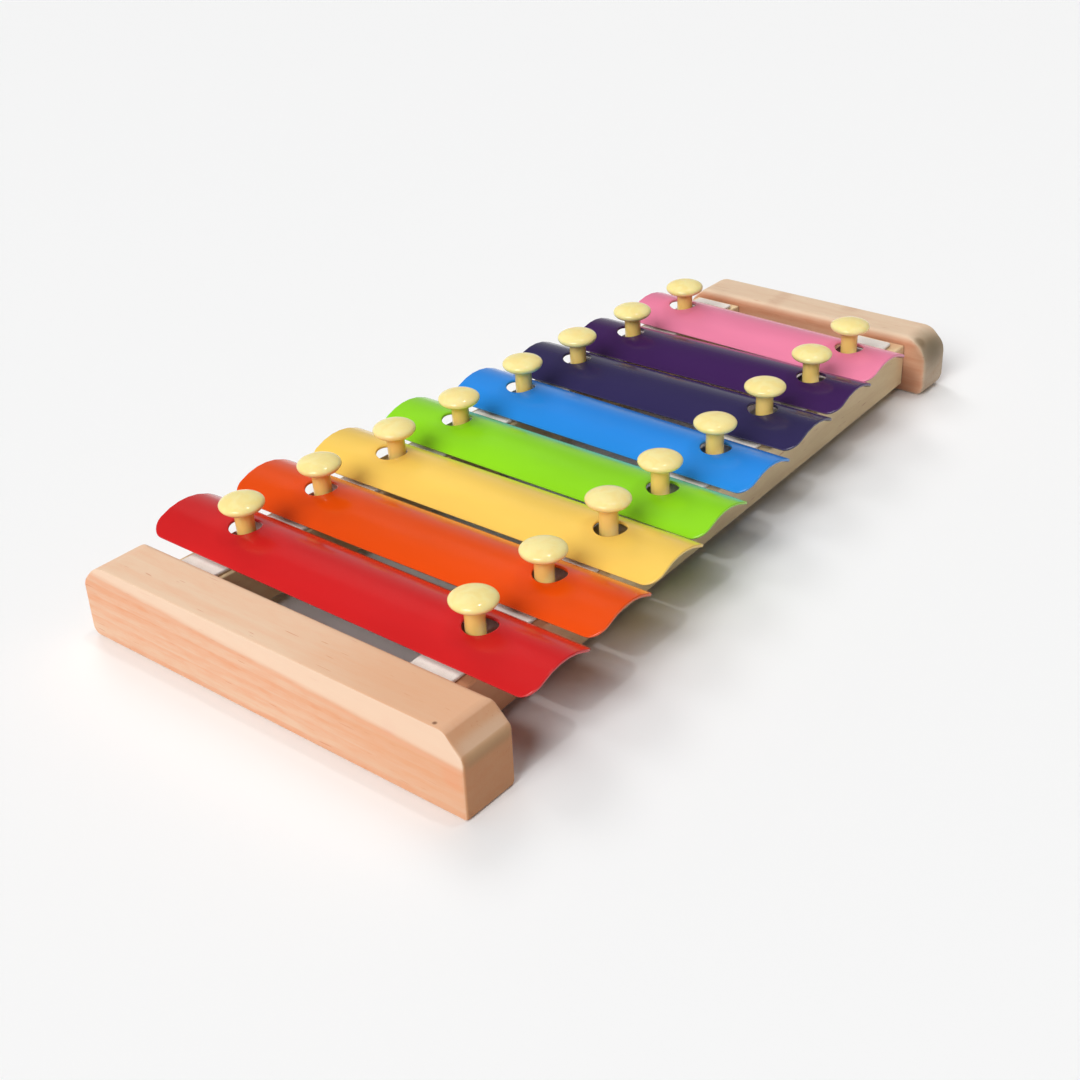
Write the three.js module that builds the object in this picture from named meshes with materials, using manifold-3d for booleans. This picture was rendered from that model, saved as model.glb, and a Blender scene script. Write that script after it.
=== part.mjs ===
// Toy xylophone: eight arched metal bars held loosely by plastic pins on two wooden rails.
// Millimetres, +Z up. X runs from the low note (-X) to the high note (+X), and the bars lie along Y.
// The origin is on the surface that the end blocks stand on, under the middle of the object.
import * as THREE from 'three';
import { mergeVertices } from 'three/addons/utils/BufferGeometryUtils.js';
import Module from 'manifold-3d';

const wasm = await Module();
wasm.setup();

// ---- driving dimensions -------------------------------------------------------------------

const GAP = 0.3; // clearance between pieces that touch or are glued
const LENGTH = 242.8; // over both end blocks

// End blocks: a rounded bar of wood with a sloped corner at each end of its top.
const LOW_BLOCK = { thickness: 15.4, width: 118.8, height: 20.1, slope: 5.2, round: 1.5 };
const HIGH_BLOCK = { thickness: 13.4, width: 84, height: 17.8, slope: 4.6, round: 1.5 };

// Rows of pins: they come closer together towards the high note.
const PITCH = 25;
const FIRST_X = -89.8;
const LAST_X = FIRST_X + 7 * PITCH;
const PIN_Y_LOW = 36.4;
const PIN_Y_HIGH = 28.9;

// Rails under the pins, raised above the floor, and the soft strips glued on them. Their middle
// lines are off the pins: outward from the middle of the object, and towards its rear (+Y).
// The strips stop short of the high end block.
const RAIL = { width: 15.2, bottom: 2.9, top: 15.5, outward: 1.1, rearward: 1.6, bevel: 0.5 };
const FOAM = { width: 12, bottom: 15.6, top: 16.7, outward: 0, rearward: 1.9, short: 2.9 };

// Bars: arched sheet metal with round corners and a hole near each end.
const BAR = {
  width: 22.8,
  rise: 4.4,
  thickness: 0.8,
  edgeBottom: 17,
  cornerRadius: 4,
  holeRadius: 4.1,
};

// One note each: the bar's colour and length, how far it lies off its even place along X and Y,
// its skew in degrees, and how far outside the pin rows its holes are. Then how far its front and
// rear pins stand off their even places along X, and how much higher than usual they stand.
const NOTES = [
  {
    name: 'red', colour: 0xdc2826, length: 120.2, shift: 0.5, slide: 0, skew: -0.3, holesOut: 0.8,
    pinShift: { front: -0.4, rear: 0.4 }, pinUp: { front: 0, rear: 0.2 },
  },
  {
    name: 'orange', colour: 0xeb551e, length: 116, shift: 0.3, slide: 0, skew: 0.3, holesOut: 0.9,
    pinShift: { front: -0.4, rear: 0 }, pinUp: { front: -0.3, rear: 0.4 },
  },
  {
    name: 'yellow', colour: 0xffcd5a, length: 111, shift: -0.3, slide: 0, skew: 0.3, holesOut: 0.8,
    pinShift: { front: 0.3, rear: 0.8 }, pinUp: { front: 0.7, rear: 0 },
  },
  {
    name: 'green', colour: 0x91dc23, length: 106, shift: -1.2, slide: 0.3, skew: -0.6, holesOut: 0.7,
    pinShift: { front: -2.2, rear: -0.1 }, pinUp: { front: 0.9, rear: -0.3 },
  },
  {
    name: 'blue', colour: 0x288ce4, length: 99.6, shift: -0.4, slide: 0.4, skew: -1.1, holesOut: 0.7,
    pinShift: { front: -1.2, rear: 0.5 }, pinUp: { front: 0.3, rear: 0.7 },
  },
  {
    name: 'indigo', colour: 0x32284e, length: 95.2, shift: 0, slide: 1, skew: 0.5, holesOut: 0.1,
    pinShift: { front: -0.4, rear: -0.9 }, pinUp: { front: 0.3, rear: 0.5 },
  },
  {
    name: 'purple', colour: 0x3e2350, length: 89.8, shift: 0, slide: 0.2, skew: 1, holesOut: 0.6,
    pinShift: { front: 0.9, rear: -0.4 }, pinUp: { front: 0, rear: 0 },
  },
  {
    name: 'pink', colour: 0xf082a0, length: 86, shift: 0, slide: 0.4, skew: -1.6, holesOut: 0.6,
    pinShift: { front: -0.8, rear: 0.6 }, pinUp: { front: 0, rear: -0.6 },
  },
];

// Pins: a domed cap on a stem, with a thinner shank driven into the rail.
const PIN = {
  stemRadius: 2.35,
  shankRadius: 1.8,
  shankDepth: 8,
  shoulder: 0.9, // where the stem starts, above the rail
  tipLength: 1.2,
  capRadius: 5.6,
  capUnderside: 26.6,
  capRim: 28.3,
  capTop: 30.2,
  rearLean: 2, // degrees, towards the low note
};

const DOWEL = { radius: 2.5, length: 18, chamfer: 0.5, z: 9.6 };

const WOOD = { color: 0xf0c8a0, roughness: 0.55, metalness: 0 };
const PLASTIC = { color: 0xfae8a5, roughness: 0.3, metalness: 0 };
const FOAM_FINISH = { color: 0xe1ded9, roughness: 0.95, metalness: 0 };
const ENAMEL = { roughness: 0.25, metalness: 0.1 };

// ---- places worked out from the dimensions ------------------------------------------------------

const LOW_INNER_X = -LENGTH / 2 + LOW_BLOCK.thickness;
const HIGH_INNER_X = LENGTH / 2 - HIGH_BLOCK.thickness;
const RAIL_LOW_X = LOW_INNER_X + GAP;
const RAIL_HIGH_X = HIGH_INNER_X - GAP;
const ROWS = { front: -1, rear: 1 };

const noteX = (index) => FIRST_X + index * PITCH;

// Distance of the pin rows from the middle at a place along X.
function rowY(x) {
  const share = (x - FIRST_X) / (LAST_X - FIRST_X);
  return THREE.MathUtils.lerp(PIN_Y_LOW, PIN_Y_HIGH, share);
}

// The middle line of a rail or foam strip at a place along X.
function stripY(side, x, { outward, rearward }) {
  return side * (rowY(x) + outward) + rearward;
}

// ---- solids ---------------------------------------------------------------------------------

function toSolid(geometry) {
  const bare = geometry.clone();
  bare.deleteAttribute('normal');
  bare.deleteAttribute('uv');
  const merged = mergeVertices(bare, 1e-4);
  const vertProperties = new Float32Array(merged.attributes.position.array);
  const triVerts = new Uint32Array(merged.index.array);
  return new wasm.Manifold(new wasm.Mesh({ numProp: 3, vertProperties, triVerts }));
}

function toGeometry(solid) {
  const mesh = solid.getMesh();
  const geometry = new THREE.BufferGeometry();
  geometry.setAttribute('position', new THREE.BufferAttribute(mesh.vertProperties, 3));
  geometry.setIndex(new THREE.BufferAttribute(mesh.triVerts, 1));
  geometry.computeVertexNormals();
  return geometry;
}

function cut(geometry, cutters) {
  const solid = cutters.reduce((left, cutter) => left.subtract(toSolid(cutter)), toSolid(geometry));
  return toGeometry(solid);
}

function roundedRectangle(halfX, halfY, radius) {
  const shape = new THREE.Shape();
  shape.absarc(halfX - radius, halfY - radius, radius, 0, Math.PI / 2);
  shape.absarc(-halfX + radius, halfY - radius, radius, Math.PI / 2, Math.PI);
  shape.absarc(-halfX + radius, -halfY + radius, radius, Math.PI, 1.5 * Math.PI);
  shape.absarc(halfX - radius, -halfY + radius, radius, 1.5 * Math.PI, 2 * Math.PI);
  shape.closePath();
  return shape;
}

function prism(shape, bottom, top, curveSegments) {
  const options = { depth: top - bottom, bevelEnabled: false, curveSegments };
  return new THREE.ExtrudeGeometry(shape, options).translate(0, 0, bottom);
}

function uprightCylinder(radius, bottom, top, sides) {
  const geometry = new THREE.CylinderGeometry(radius, radius, top - bottom, sides);
  return geometry.rotateX(Math.PI / 2).translate(0, 0, (bottom + top) / 2);
}

// ---- end blocks -----------------------------------------------------------------------------

function blockGeometry({ thickness, width, height, slope, round }) {
  const half = width / 2 - round;
  const low = round;
  const high = height - round;
  const outline = new THREE.Shape([
    new THREE.Vector2(-half, low),
    new THREE.Vector2(half, low),
    new THREE.Vector2(half, high - slope),
    new THREE.Vector2(half - slope, high),
    new THREE.Vector2(-half + slope, high),
    new THREE.Vector2(-half, high - slope),
  ]);
  const geometry = new THREE.ExtrudeGeometry(outline, {
    depth: thickness - 2 * round,
    bevelThickness: round,
    bevelSize: round,
    bevelSegments: 3,
  });
  geometry.translate(0, 0, round - thickness / 2);
  const axes = new THREE.Matrix4().makeBasis(
    new THREE.Vector3(0, 1, 0),
    new THREE.Vector3(0, 0, 1),
    new THREE.Vector3(1, 0, 0),
  );
  return geometry.applyMatrix4(axes);
}

// ---- dowels that join the rails to the blocks ---------------------------------------------------

// The four joints between a rail and a block, each with the middle of its dowel.
const JOINTS = ['low', 'high'].flatMap((end) =>
  Object.entries(ROWS).map(([row, side]) => {
    const x = end === 'low' ? LOW_INNER_X : HIGH_INNER_X;
    return { end, row, place: new THREE.Vector3(x, stripY(side, x, RAIL), DOWEL.z) };
  }),
);

function dowelGeometry() {
  const { radius, length, chamfer } = DOWEL;
  const profile = [
    [0, -length / 2],
    [radius - chamfer, -length / 2],
    [radius, -length / 2 + chamfer],
    [radius, length / 2 - chamfer],
    [radius - chamfer, length / 2],
    [0, length / 2],
  ].map(([r, y]) => new THREE.Vector2(r, y));
  return new THREE.LatheGeometry(profile, 12).rotateZ(-Math.PI / 2);
}

function dowelHole({ place }) {
  const length = DOWEL.length + 2 * GAP;
  const hole = new THREE.CylinderGeometry(DOWEL.radius + GAP, DOWEL.radius + GAP, length, 12);
  return hole.rotateZ(-Math.PI / 2).translate(place.x, place.y, place.z);
}

// ---- pins -------------------------------------------------------------------------------------

// A pin is drawn upright, with z = 0 at the top of its rail.
function pinGeometry() {
  const z = (height) => height - RAIL.top;
  const { stemRadius, shankRadius, capRadius } = PIN;
  const profile = [
    [0, -PIN.shankDepth],
    [shankRadius - PIN.tipLength / 2, -PIN.shankDepth],
    [shankRadius, -PIN.shankDepth + PIN.tipLength],
    [shankRadius, PIN.shoulder],
    [stemRadius, PIN.shoulder],
    [stemRadius, z(PIN.capUnderside)],
    [capRadius * 0.88, z(PIN.capUnderside + 0.6)],
    [capRadius, z(PIN.capRim)],
    [capRadius * 0.9, z(PIN.capRim + 0.95)],
    [capRadius * 0.55, z(PIN.capTop - 0.3)],
    [0, z(PIN.capTop)],
  ].map(([r, y]) => new THREE.Vector2(r, y));
  return new THREE.LatheGeometry(profile, 14).rotateX(Math.PI / 2);
}

// Every pin's row, number and placement.
const PINS = NOTES.flatMap((note, index) =>
  Object.entries(ROWS).map(([row, side]) => {
    const x = noteX(index) + note.pinShift[row];
    const lean = row === 'rear' ? PIN.rearLean : 0;
    const matrix = new THREE.Matrix4().makeRotationY(THREE.MathUtils.degToRad(-lean));
    matrix.setPosition(x, side * rowY(x), RAIL.top + note.pinUp[row]);
    return { row, number: index + 1, matrix };
  }),
);

function pinHoles(row, radius) {
  const reach = PIN.shankDepth + 3 * GAP;
  return PINS.filter((pin) => pin.row === row).map((pin) =>
    uprightCylinder(radius, -reach, reach, 12).applyMatrix4(pin.matrix),
  );
}

// ---- rails and foam strips -----------------------------------------------------------------------

// Outline, seen from above, of a strip that runs along a row of pins from the low end block to
// highEnd, drawn in all round by an inset.
function stripOutline(side, strip, highEnd, inset) {
  const lowX = RAIL_LOW_X + inset;
  const highX = highEnd - inset;
  const corner = (x, across) => new THREE.Vector2(x, stripY(side, x, strip) + side * across);
  const half = strip.width / 2 - inset;
  return new THREE.Shape([
    corner(lowX, -half),
    corner(highX, -half),
    corner(highX, half),
    corner(lowX, half),
  ]);
}

function railGeometry(row) {
  const { bottom, top, bevel } = RAIL;
  const outline = stripOutline(ROWS[row], RAIL, RAIL_HIGH_X, bevel);
  const rail = new THREE.ExtrudeGeometry(outline, {
    depth: top - bottom - 2 * bevel,
    bevelThickness: bevel,
    bevelSize: bevel,
    bevelSegments: 1,
  });
  rail.translate(0, 0, bottom + bevel);
  const dowelHoles = JOINTS.filter((joint) => joint.row === row).map(dowelHole);
  return cut(rail, [...dowelHoles, ...pinHoles(row, PIN.shankRadius + GAP)]);
}

function foamGeometry(row) {
  const outline = stripOutline(ROWS[row], FOAM, RAIL_HIGH_X - FOAM.short, 0);
  return cut(prism(outline, FOAM.bottom, FOAM.top), pinHoles(row, PIN.stemRadius + GAP));
}

// ---- bars ---------------------------------------------------------------------------------------

// A bar is drawn around its own middle, with z = 0 at the underside of its long edges.
function barGeometry(length, holeYs) {
  const { width, rise, thickness, cornerRadius, holeRadius } = BAR;
  const halfWidth = width / 2;
  const outerRadius = (halfWidth ** 2 + rise ** 2) / (2 * rise);
  const innerRadius = outerRadius - thickness;
  const halfAngle = Math.asin(halfWidth / outerRadius);
  const centreZ = -innerRadius * Math.cos(halfAngle);
  const right = Math.PI / 2 - halfAngle;
  const left = Math.PI / 2 + halfAngle;

  const section = new THREE.Shape();
  section.absarc(0, centreZ, outerRadius, right, left, false);
  section.absarc(0, centreZ, innerRadius, left, right, true);
  section.closePath();
  const arch = new THREE.ExtrudeGeometry(section, {
    depth: length,
    bevelEnabled: false,
    curveSegments: 10,
  });
  arch.translate(0, 0, -length / 2).rotateX(Math.PI / 2);

  const crest = rise + thickness;
  const plan = prism(roundedRectangle(halfWidth, length / 2, cornerRadius), -1, crest + 1, 4);
  const holes = holeYs.map((y) => uprightCylinder(holeRadius, -1, crest + 1, 16).translate(0, y, 0));
  const blank = toSolid(arch).intersect(toSolid(plan));
  return toGeometry(holes.reduce((solid, hole) => solid.subtract(toSolid(hole)), blank));
}

// ---- the object -----------------------------------------------------------------------------------

const xylophone = new THREE.Group();

function addMesh(name, geometry, finish, parent = xylophone) {
  const mesh = new THREE.Mesh(geometry, new THREE.MeshStandardMaterial(finish));
  mesh.name = name;
  parent.add(mesh);
  return mesh;
}

const BLOCKS = {
  low: { size: LOW_BLOCK, x: (LOW_INNER_X - LENGTH / 2) / 2 },
  high: { size: HIGH_BLOCK, x: (HIGH_INNER_X + LENGTH / 2) / 2 },
};
for (const [end, { size, x }] of Object.entries(BLOCKS)) {
  const block = blockGeometry(size).translate(x, 0, 0);
  const holes = JOINTS.filter((joint) => joint.end === end).map(dowelHole);
  addMesh(`${end}_end_block`, cut(block, holes), WOOD);
}

for (const row of Object.keys(ROWS)) {
  addMesh(`${row}_rail`, railGeometry(row), WOOD);
  addMesh(`${row}_foam_strip`, foamGeometry(row), FOAM_FINISH);
}

const dowel = dowelGeometry();
for (const { end, row, place } of JOINTS) {
  addMesh(`${end}_${row}_dowel`, dowel, WOOD).position.copy(place);
}

const pin = pinGeometry();
for (const { row, number, matrix } of PINS) {
  addMesh(`${row}_pin_${number}`, pin, PLASTIC).applyMatrix4(matrix);
}

NOTES.forEach((note, index) => {
  const holder = new THREE.Group();
  holder.position.set(noteX(index) + note.shift, note.slide, BAR.edgeBottom);
  holder.rotation.z = THREE.MathUtils.degToRad(note.skew);
  xylophone.add(holder);
  const holeY = rowY(noteX(index)) + note.holesOut;
  const geometry = barGeometry(note.length, [-holeY, holeY]);
  addMesh(`bar_${note.name}`, geometry, { ...ENAMEL, color: note.colour }, holder);
});

export default xylophone;
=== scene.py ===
"""Looks of a toy xylophone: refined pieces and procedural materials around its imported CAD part.

Metres, +Z up. X runs from the long red bar (-X) to the short pink one (+X), and the bars lie along Y.
"""

import math

import bmesh
import bpy
import numpy as np
from mathutils import Matrix, Vector
from mathutils.geometry import delaunay_2d_cdt


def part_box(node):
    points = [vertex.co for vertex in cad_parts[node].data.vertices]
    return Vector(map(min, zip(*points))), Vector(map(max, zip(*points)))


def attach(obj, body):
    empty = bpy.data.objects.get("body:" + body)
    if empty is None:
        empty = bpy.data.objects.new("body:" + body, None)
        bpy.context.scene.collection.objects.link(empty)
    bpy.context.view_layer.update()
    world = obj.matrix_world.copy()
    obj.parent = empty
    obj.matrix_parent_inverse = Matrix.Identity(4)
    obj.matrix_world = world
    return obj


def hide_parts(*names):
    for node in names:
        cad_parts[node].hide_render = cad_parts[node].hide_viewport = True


MM = 0.001
X_AXIS, Y_AXIS, Z_AXIS = range(3)
FRAME_BODY = "frame"

# Camera: where it stands, and how it looks, in degrees. The heading turns from +X towards +Y.
CAMERA_PLACE = (-0.29778, -0.22889, 0.20445)
CAMERA_HEADING = 39.89
CAMERA_DIP = 29.91
CAMERA_ROLL = -2.53
CAMERA_LENS = 52.61  # on a 36 mm sensor
CAMERA_NEAR = 10 * MM  # nothing closer is drawn

# Bars, from the low note to the high one, with the colour of each one's enamel.
NOTES = {
    "red": (211, 31, 33),
    "orange": (234, 78, 8),
    "yellow": (255, 212, 98),
    "green": (143, 219, 30),
    "blue": (38, 139, 231),
    "indigo": (49, 42, 84),
    "purple": (62, 30, 86),
    "pink": (240, 133, 166),
}
SHEET = 0.8 * MM  # thickness of a bar's metal
BAR_CORNER = 4 * MM
BAR_CORNER_STEPS = 10
BAR_EDGE = 0.26 * MM  # rounding of the sheet's edges
BAR_OUTLINE_STEP = 3 * MM
BAR_STEP = 1.6 * MM  # along the bar
BAR_STRIPS = 24  # across the arch
HOLE_SIDES = 48
SAME_HEIGHT = 0.02 * MM  # points of a bar closer in height than this lie level
ARCH_FIRST_ANGLE = 0.7  # radians, the first guess at half the arch's angle
ARCH_ROUNDS = 30  # of improving on it

# Pins stand in two rows, on the -Y and the +Y side.
ROWS = {"front": -1, "rear": 1}
PIN_NUMBERS = range(1, len(NOTES) + 1)
ENDS = ("low", "high")

# End blocks: the sloped corners take up a fixed share of the height.
SLOPE_SHARE = 0.2585

# How far each kind of edge of an end block is eased, in millimetres: the long edges at the top and the
# bottom of its low (-X) and high (+X) side, the edges across it at its slopes and its bottom corners, and
# the upright ones.
EASES = {
    "low": {
        "low_top": 0.9,
        "high_top": 2.0,
        "low_bottom": 0.8,
        "high_bottom": 3.5,
        "front_slope": 1.2,
        "rear_slope": 3.2,
        "front_bottom": 0.8,
        "rear_bottom": 0,
        "upright": 0.8,
    },
    "high": {
        "low_top": 2.6,
        "high_top": 0.8,
        "low_bottom": 2.0,
        "high_bottom": 4.6,
        "front_slope": 3.0,
        "rear_slope": 1.9,
        "front_bottom": 3.2,
        "rear_bottom": 2.2,
        "upright": 1.4,
    },
}

# The low end block's rear bottom corner isn't eased but rounded, all the way along X.
ROUND_CORNER = 4.2 * MM
ROUND_CORNER_STEPS = 10

# A twisting facet is planed off the low end block's outer top edge: PLANED_TOP off the top, and down to
# PLANED_HEIGHT on the outer face, at the middle of the block, and lower towards the front.
PLANED_TOP = 0.5 * MM
PLANED_HEIGHT = 15.2 * MM
PLANED_TWIST = 0.045  # of height per length
PLANED_STEPS = 24
PLANED_WOOD = (240, 212, 186)
PLANED_LINE = (230, 168, 132)  # a darker line below the facet

# Plates: how far the points inside stay from the outline and holes, as a share of their spacing, and the
# step that probes which way a surface faces.
GRID_CLEARANCE = 0.4
PROBE = 1e-3 * MM

# Eased edges: how many strips make up their rounding, and how far faces have to turn, in degrees, for the
# edge between them to stay crisp.
EASE_STRIPS = 6
CREASE = 18

# Cutters reach past what they cut: the first far enough to leave no thin skin, the second well clear of
# the block.
CUTTER_REACH = 1 * MM
WIDE_REACH = 12 * MM

RAIL_EASE = 0.5 * MM
RAIL_UPRIGHT_SHARE = 0.4  # of that ease, at the rail's upright edges

# Foam strips: how far their edges and corners are eased, how deep and how often their top wavers.
FOAM_EDGE = 0.4 * MM
FOAM_CORNER = 0.8 * MM
FOAM_CORNER_STEPS = 4
FOAM_WAVER = 0.08 * MM
FOAM_WAVES = (3.7 * MM, 9.1 * MM)
FOAM_STEP = 1.2 * MM
FOAM_STRIPS = 8
FOAM_HOLE_SIDES = 24

# Pins: a turned shank with a shoulder, a stem, and a cap with a dome above its rim.
PIN_SIDES = 40
FOOT_DEPTH = 0.5 * MM  # how much of a shank's tip is averaged to find its middle
STEM_RADIUS = 2.35 * MM
SHANK_RADIUS = 1.8 * MM
CAP_RADIUS = 5.6 * MM
CAP_DOME = 1.9 * MM  # height above the rim
CAP_UNDER = 1.1 * MM  # height of the round part below the rim
CAP_UNDER_SHARE = 0.88  # of the cap's radius, at the bottom of that part
CAP_CONE = 0.6 * MM  # height from there down to the stem
TOP_CLEARANCE = 0.01 * MM  # keeps the cap inside its CAD box
CAP_UNDER_STEPS = 5
CAP_DOME_STEPS = 14
STEM_FILLET = 0.5 * MM
FILLET_TURN = 85  # degrees, so that the fillet runs into the cone
FILLET_STEPS = 4
SHOULDER_ABOVE_TIP = 8.9 * MM
SHOULDER_EASE = 0.2 * MM
TIP_LENGTH = 1.2 * MM
TIP_SHARE = 0.67  # of the shank's radius, at its very tip
PIN_CLEARANCE = 0.3 * MM
TIP_HOLE_REACH = 3 * PIN_CLEARANCE  # of the pins' holes below their tips
RAIL_HOLE_REACH = 20 * MM  # and above their tips, past the rail's top

# The wood's rings: how far apart they are and how far they wander, in millimetres.
RING_SPACING = 3.5
RING_WARP = 7.0
MARK_CORE = 0.3  # of a mark's reach, where it is at its strongest

# Pins' painted shade: the stems' deeper tone, painted shade under the caps, turns into the cap's over these
# heights, in millimetres.
STEM_SHADE = (252, 214, 124)
SHADE_HEIGHTS = (25.5, 28)

# Surroundings: the backdrop's direction, its light over the room's own, and how high up it fades out.
BACKDROP = (0.69, 0.72, 0)
BACKDROP_LIGHT = 0.36
BACKDROP_TOP = 0.75
ROOM_LIGHT = 0.09

# Soft suns: the direction that each one shines from, its strength, its spread in degrees, and whether it
# shows in reflections.
SUNS = {
    "overhead": ((0.06, 0.22, 1), 0.72, 50, False),
    "back": ((0.52, 0.85, 0.86), 0.72, 22, False),
    "side": ((-1.03, -0.12, 0.78), 2.35, 32, True),
    "glint": ((0.3, -0.12, 1.46), 0.25, 2.4, True),
}

# The floor lies a little below the object, so that no face lies in it.
FLOOR_HALF = 4.0  # half its side
FLOOR_DROP = 0.05 * MM
FLOOR_GREY = 0.93


# ---- scene and camera ----------------------------------------------------------------------------


def add_object(name, data):
    obj = bpy.data.objects.new(name, data)
    bpy.context.scene.collection.objects.link(obj)
    return obj


def add_camera():
    heading = math.radians(CAMERA_HEADING)
    dip = math.radians(CAMERA_DIP)
    roll = math.radians(CAMERA_ROLL)
    flat = math.cos(dip)
    forward = Vector((math.cos(heading) * flat, math.sin(heading) * flat, -math.sin(dip)))
    level = forward.cross(Vector((0, 0, 1))).normalized()
    upright = level.cross(forward)
    right = level * math.cos(roll) + upright * math.sin(roll)
    up = upright * math.cos(roll) - level * math.sin(roll)
    data = bpy.data.cameras.new("camera")
    data.lens = CAMERA_LENS
    data.clip_start = CAMERA_NEAR
    camera = add_object("camera", data)
    turn = Matrix((right, up, -forward)).transposed().to_4x4()
    camera.matrix_world = Matrix.Translation(CAMERA_PLACE) @ turn
    bpy.context.scene.camera = camera


# ---- meshes --------------------------------------------------------------------------------------


def new_object(name, vertices, faces, normals=None):
    mesh = bpy.data.meshes.new(name)
    mesh.from_pydata([tuple(v) for v in vertices], [], faces)
    mesh.shade_smooth()
    if normals is not None:
        mesh.normals_split_custom_set_from_vertices([tuple(n) for n in normals])
    return add_object(name, mesh)


def finish_piece(obj, body, material, nodes):
    obj.data.materials.clear()
    obj.data.materials.append(material)
    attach(obj, body)
    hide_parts(*nodes)
    return obj


def node_points(node):
    return np.array([v.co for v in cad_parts[node].data.vertices])


def rounded_rectangle(half_u, half_v, radius, steps):
    """Corner points of a rectangle with round corners, counter-clockwise."""
    corners = ((1, 1, 0), (-1, 1, 90), (-1, -1, 180), (1, -1, 270))
    angles = np.linspace(0, 90, steps + 1)
    return np.array(
        [
            (
                su * (half_u - radius) + radius * math.cos(math.radians(start + a)),
                sv * (half_v - radius) + radius * math.sin(math.radians(start + a)),
            )
            for su, sv, start in corners
            for a in angles
        ]
    )


def circle(centre, radius, steps):
    """Points of a hole, clockwise, so that the material is on the left."""
    angles = -np.arange(steps) * 2 * math.pi / steps
    return np.array(centre) + radius * np.stack([np.cos(angles), np.sin(angles)], 1)


def divided(loop, longest):
    """The loop with its long sides cut into equal parts."""
    points = []
    for here, there in zip(loop, np.roll(loop, -1, 0)):
        parts = max(1, math.ceil(np.linalg.norm(there - here) / longest))
        points += [here + (there - here) * k / parts for k in range(parts)]
    return np.array(points)


def outward(loop):
    """The direction out of the material at each point of a loop."""
    ahead = np.roll(loop, -1, 0) - loop
    behind = loop - np.roll(loop, 1, 0)
    ahead /= np.linalg.norm(ahead, axis=1)[:, None]
    behind /= np.linalg.norm(behind, axis=1)[:, None]
    along = ahead + behind
    along /= np.linalg.norm(along, axis=1)[:, None]
    return np.stack([along[:, 1], -along[:, 0]], 1)


def distance_inside(points, loops):
    """How far each point is from the nearest side of the loops; negative outside the material."""
    nearest = np.full(len(points), np.inf)
    crossings = np.zeros(len(points), int)
    for loop in loops:
        for a, b in zip(loop, np.roll(loop, -1, 0)):
            side = b - a
            share = np.clip((points - a) @ side / (side @ side), 0, 1)
            nearest = np.minimum(nearest, np.linalg.norm(points - a - share[:, None] * side, axis=1))
            spans = (a[1] > points[:, 1]) != (b[1] > points[:, 1])
            if a[1] != b[1]:
                at = a[0] + (points[:, 1] - a[1]) / (b[1] - a[1]) * (b[0] - a[0])
                crossings += spans & (points[:, 0] < at)
    return np.where(crossings % 2 == 1, nearest, -nearest)


def fill(loops, grid):
    """Triangles that fill the loops, over the loops' points and the grid points well inside them. Also
    gives each loop point's number among the filling's points."""
    clear = np.linalg.norm(grid[1] - grid[0]) * GRID_CLEARANCE
    grid = grid[distance_inside(grid, loops) > clear]
    flat = np.concatenate([*loops, grid])
    sides = []
    start = 0
    for loop in loops:
        count = len(loop)
        sides += [(start + k, start + (k + 1) % count) for k in range(count)]
        start += count
    whole, merging = 0, 1e-6  # keep the triangles outside as well, and merge points this close
    found = delaunay_2d_cdt([Vector(p) for p in flat / MM], sides, [], whole, merging)
    points = np.array([v[:] for v in found[0]]) * MM
    triangles = np.array([f[:] for f in found[2]])
    middles = points[triangles].mean(1)
    triangles = triangles[distance_inside(middles, loops) > 0]
    number = {}
    for index, sources in enumerate(found[3]):
        for source in sources:
            number[source] = index
    return points, triangles, number


def skin(place, points, share, out, angle):
    """Points of space, and their normals where the edge has turned by angle from the top. out is the
    direction out of the material on the plane, or zero away from an edge."""
    here = place(points, share)
    du = place(points + (PROBE, 0), share) - here
    dv = place(points + (0, PROBE), share) - here
    up = np.cross(du, dv)
    up /= np.linalg.norm(up, axis=1)[:, None]
    aside = du * out[:, :1] + dv * out[:, 1:]
    length = np.linalg.norm(aside, axis=1)[:, None]
    aside = np.divide(aside, length, out=np.zeros_like(aside), where=length > 0)
    return here, up * math.cos(angle) + aside * math.sin(angle)


def plate(name, loops, grid, place, thickness, edge, steps=3):
    """A closed plate with round edges, of steps strips in each quarter turn. loops are its outline and
    holes on a plane, and grid the points between them. place turns plane points and a share of the
    thickness, 0 below and 1 on top, into space."""
    cover, triangles, number = fill([loop - outward(loop) * edge for loop in loops], grid)
    none = np.zeros_like(cover)
    count = len(cover)

    # The top and the bottom, and then the rings of points that each round edge adds between them.
    parts = [
        skin(place, cover, np.ones(count), none, 0),
        skin(place, cover, np.zeros(count), none, math.pi),
    ]
    faces = [tuple(t) for t in triangles] + [tuple(t[::-1] + count) for t in triangles]
    total = 2 * count
    start = 0
    for loop in loops:
        size = len(loop)
        out = outward(loop)
        rings = [[number[start + k] for k in range(size)]]
        for step in range(1, 2 * steps):
            angle = math.pi * step / (2 * steps)
            back = edge * (1 - math.sin(angle))
            share = edge * (1 - abs(math.cos(angle))) / thickness
            if step < steps:
                share = 1 - share
            if step == steps:
                share = 0.5
            parts.append(skin(place, loop - out * back, np.full(size, share), out, angle))
            rings.append([total + k for k in range(size)])
            total += size
        rings.append([number[start + k] + count for k in range(size)])
        for upper, lower in zip(rings, rings[1:]):
            for k in range(size):
                after = (k + 1) % size
                faces.append((upper[k], lower[k], lower[after], upper[after]))
        start += size
    vertices = np.concatenate([p for p, _ in parts])
    normals = np.concatenate([n for _, n in parts])
    return new_object(name, vertices, faces, normals)


def grid_points(us, vs):
    return np.array([(u, v) for u in us for v in vs])


def bmesh_object(name, mesh):
    """An object from a bmesh, which this frees."""
    data = bpy.data.meshes.new(name)
    mesh.to_mesh(data)
    mesh.free()
    return add_object(name, data)


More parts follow.
